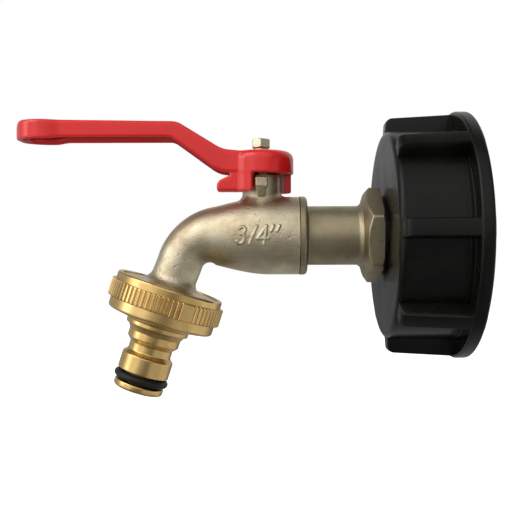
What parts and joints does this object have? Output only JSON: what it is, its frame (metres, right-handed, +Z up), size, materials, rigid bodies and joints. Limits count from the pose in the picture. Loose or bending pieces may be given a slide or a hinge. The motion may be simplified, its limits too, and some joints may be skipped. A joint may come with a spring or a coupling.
{
  "type": "ibc tap adapter",
  "caption": "Black screw cap with a nickel-plated ball tap, red cranked lever and knurled brass hose connector.",
  "frame": {"origin": "centre of the cap's mouth, in the plane of its rim", "axes": "+X out of the cap's mouth towards the container, +Z up, spout and lever towards -X"},
  "size_m": [0.1421, 0.078, 0.0904],
  "materials": {
    "cap_plastic": "moulded black, semi-gloss",
    "nickel_plate": "satin nickel plate on brass",
    "turned_brass": "turned, bright",
    "red_enamel": "gloss enamel on die-cast metal",
    "seal_rubber": "black rubber",
    "seat_plastic": "white low-friction plastic",
    "ball_chrome": "polished"
  },
  "bodies": {
    "tap": {"threaded_cap": "cap_plastic", "cap_gasket": "seal_rubber", "tailpiece_seal": "seal_rubber", "inlet_tailpiece": "nickel_plate", "tailpiece_o_ring": "seal_rubber", "tap_body": "nickel_plate", "ball_seat_inlet": "seat_plastic", "ball_seat_outlet": "seat_plastic", "stem_thrust_washer": "seat_plastic", "tap_connector": "turned_brass", "connector_washer": "seal_rubber", "nozzle_o_ring": "seal_rubber"},
    "lever": {"lever_handle": "red_enamel", "stem": "turned_brass", "ball": "ball_chrome", "stem_o_ring_lower": "seal_rubber", "stem_o_ring_upper": "seal_rubber", "handle_washer": "nickel_plate", "handle_nut": "nickel_plate"}
  },
  "joints": [
    {"name": "lever_turn", "type": "hinge", "parent": "tap", "child": "lever", "pos_m": [-0.0642, 0, 0], "axis": [0, 0, -1], "range_deg": [0, 90]}
  ]
}
